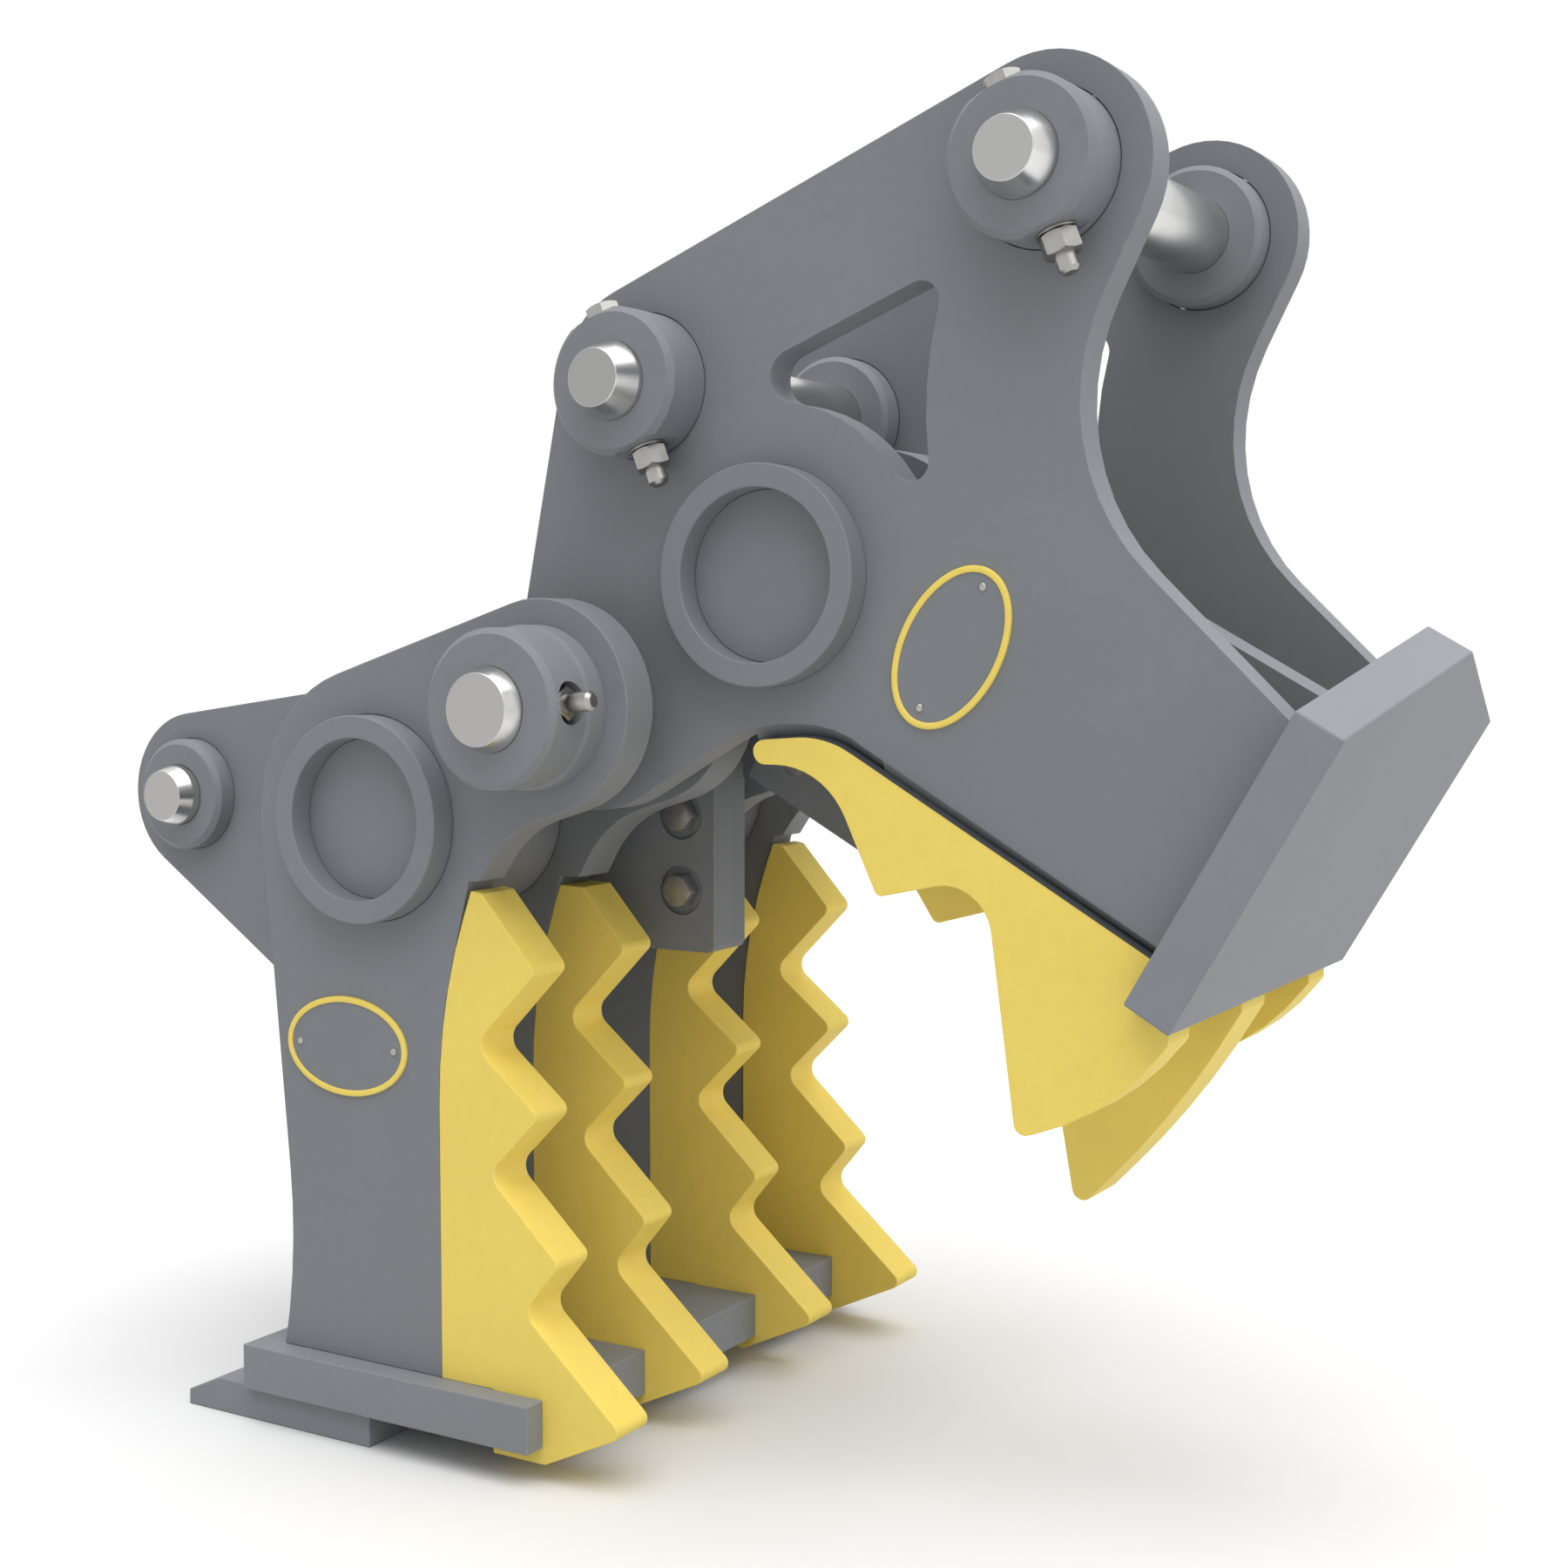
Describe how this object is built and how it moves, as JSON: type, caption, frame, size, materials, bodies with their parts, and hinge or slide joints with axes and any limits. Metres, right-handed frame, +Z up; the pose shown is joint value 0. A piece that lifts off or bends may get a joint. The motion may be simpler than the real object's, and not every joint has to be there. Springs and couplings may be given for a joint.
{
  "type": "concrete pulverizer",
  "caption": "Excavator concrete pulverizer: upper jaw with fanged tooth plates on two arm pins, and a saw-toothed lower jaw that swings on a main pivot pin.",
  "frame": {"origin": "middle of the dipper pin, halfway between the side plates", "axes": "+X forward to the nose block, +Y to the left along the pins, +Z up, with the base plate of the open lower jaw level"},
  "size_m": [1.6187, 0.86, 1.403],
  "materials": {
    "paint_grey": "satin paint over plasma-cut plate",
    "tooth_yellow": "satin paint",
    "cutter_steel": "satin paint on wear steel",
    "pin_steel": "turned and ground",
    "fastener_zinc": "zinc plated",
    "bush_bronze": "turned bronze"
  },
  "bodies": {
    "upper_jaw": {"upper_side_plate_left": "paint_grey", "upper_side_plate_right": "paint_grey", "upper_torque_tube": "paint_grey", "upper_tube_cap_left": "paint_grey", "upper_tube_cap_right": "paint_grey", "centre_plate": "paint_grey", "nose_block": "paint_grey", "upper_tooth_left": "tooth_yellow", "upper_tooth_middle": "tooth_yellow", "upper_tooth_right": "tooth_yellow", "dipper_boss_left": "paint_grey", "dipper_boss_right": "paint_grey", "link_boss_left": "paint_grey", "link_boss_right": "paint_grey", "dipper_pin": "pin_steel", "link_pin": "pin_steel", "arm_pin_bolts": "fastener_zinc", "arm_pin_nuts": "fastener_zinc", "arm_pin_washers": "fastener_zinc", "pivot_hub_left": "paint_grey", "pivot_hub_right": "paint_grey", "pivot_bush_left": "bush_bronze", "pivot_bush_right": "bush_bronze", "cutter_bracket": "paint_grey", "upper_cutter": "cutter_steel", "upper_cutter_bolts": "fastener_zinc"},
    "lower_jaw": {"lower_side_plate_left": "paint_grey", "lower_side_plate_right": "paint_grey", "lower_inner_plate_left": "paint_grey", "lower_inner_plate_right": "paint_grey", "lower_torque_tube": "paint_grey", "lower_tube_cap_left": "paint_grey", "lower_tube_cap_right": "paint_grey", "base_plate": "paint_grey", "heel_plate": "paint_grey", "lower_tooth_1": "tooth_yellow", "lower_tooth_2": "tooth_yellow", "lower_tooth_3": "tooth_yellow", "lower_tooth_4": "tooth_yellow", "pivot_boss_left": "paint_grey", "pivot_boss_right": "paint_grey", "pivot_pin": "pin_steel", "pivot_pin_bolts": "fastener_zinc", "pivot_pin_nuts": "fastener_zinc", "strut_boss_left": "paint_grey", "strut_boss_right": "paint_grey", "strut_pin": "pin_steel", "cutter_carrier": "paint_grey", "lower_cutter": "cutter_steel", "lower_cutter_bolts": "fastener_zinc", "lower_cutter_nuts": "fastener_zinc"}
  },
  "joints": [
    {"name": "jaw_pivot", "type": "hinge", "parent": "upper_jaw", "child": "lower_jaw", "pos_m": [-0.062, 0, -0.326], "axis": [0, -1, 0], "range_deg": [0, 52]}
  ]
}
